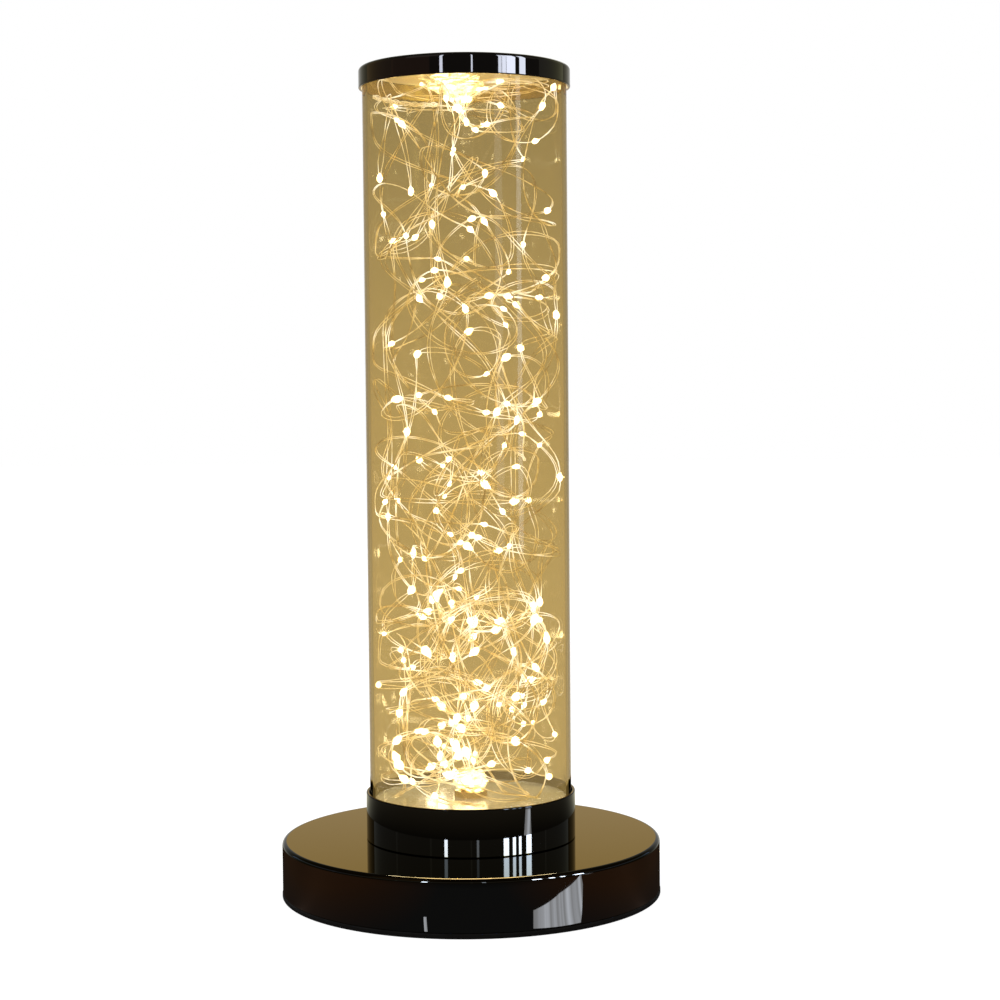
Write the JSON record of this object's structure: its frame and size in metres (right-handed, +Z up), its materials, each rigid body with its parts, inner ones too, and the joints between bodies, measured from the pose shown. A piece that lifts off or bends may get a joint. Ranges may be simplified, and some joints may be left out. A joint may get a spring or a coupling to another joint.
{
  "type": "column table lamp",
  "caption": "Table lamp with a clear upright tube full of string lights, on a round weighted metal base, with a metal collar, a cap and a push switch at the rear.",
  "frame": {"origin": "centre of the foot pad's underside, on the table", "axes": "+Z up along the tube, the front faces -Y, the switch and the cord grommet are in the rear wall at +Y"},
  "size_m": [0.188, 0.1922, 0.4067],
  "materials": {
    "eva_pad": "dull foam",
    "zinc_steel": "zinc plated",
    "cast_iron": "rough cast",
    "black_nickel": "mirror-polished black nickel",
    "fixing_brass": "turned",
    "polished_steel": "polished",
    "clear_glue": "clear with bubbles",
    "soft_pad": "dull",
    "tube_glass": "clear, faintly tinted",
    "string_copper": "lacquered copper wire",
    "bead_resin": "clear resin, lit",
    "circuit_board": "solder mask",
    "board_nylon": "natural nylon",
    "driver_plastic": "taped winding",
    "terminal_plastic": "moulded",
    "lead_insulation": "soft vinyl",
    "switch_plastic": "moulded nylon",
    "spring_steel": "drawn wire",
    "button_plastic": "moulded",
    "grommet_rubber": "moulded"
  },
  "bodies": {
    "lamp": {"foot_pad": "eva_pad", "bottom_plate": "zinc_steel", "ballast": "cast_iron", "base_shell": "black_nickel", "base_posts": "zinc_steel", "collar": "black_nickel", "nipple": "fixing_brass", "shell_nut": "fixing_brass", "floor_spacer": "fixing_brass", "tube_floor": "polished_steel", "floor_nut": "fixing_brass", "lower_glue": "clear_glue", "tube_pads": "soft_pad", "tube": "tube_glass", "cap_pads": "soft_pad", "top_cap": "black_nickel", "upper_glue": "clear_glue", "string_wire": "string_copper", "led_beads": "bead_resin", "driver_board": "circuit_board", "board_spacers": "board_nylon", "transformer": "driver_plastic", "terminal_blocks": "terminal_plastic", "feed_lead": "lead_insulation", "switch_lead": "lead_insulation", "switch_barrel": "switch_plastic", "switch_nut": "fixing_brass", "switch_back": "switch_plastic", "switch_spring": "spring_steel", "cord_grommet": "grommet_rubber"},
    "switch_button": {"switch_button": "button_plastic"}
  },
  "joints": [
    {"name": "switch_press", "type": "slide", "parent": "lamp", "child": "switch_button", "axis": [0, -1, 0], "range_m": [0, 0.0022], "stiffness_N_per_m": 400, "springref_m": -0.003, "deforming": ["switch_spring"]}
  ]
}
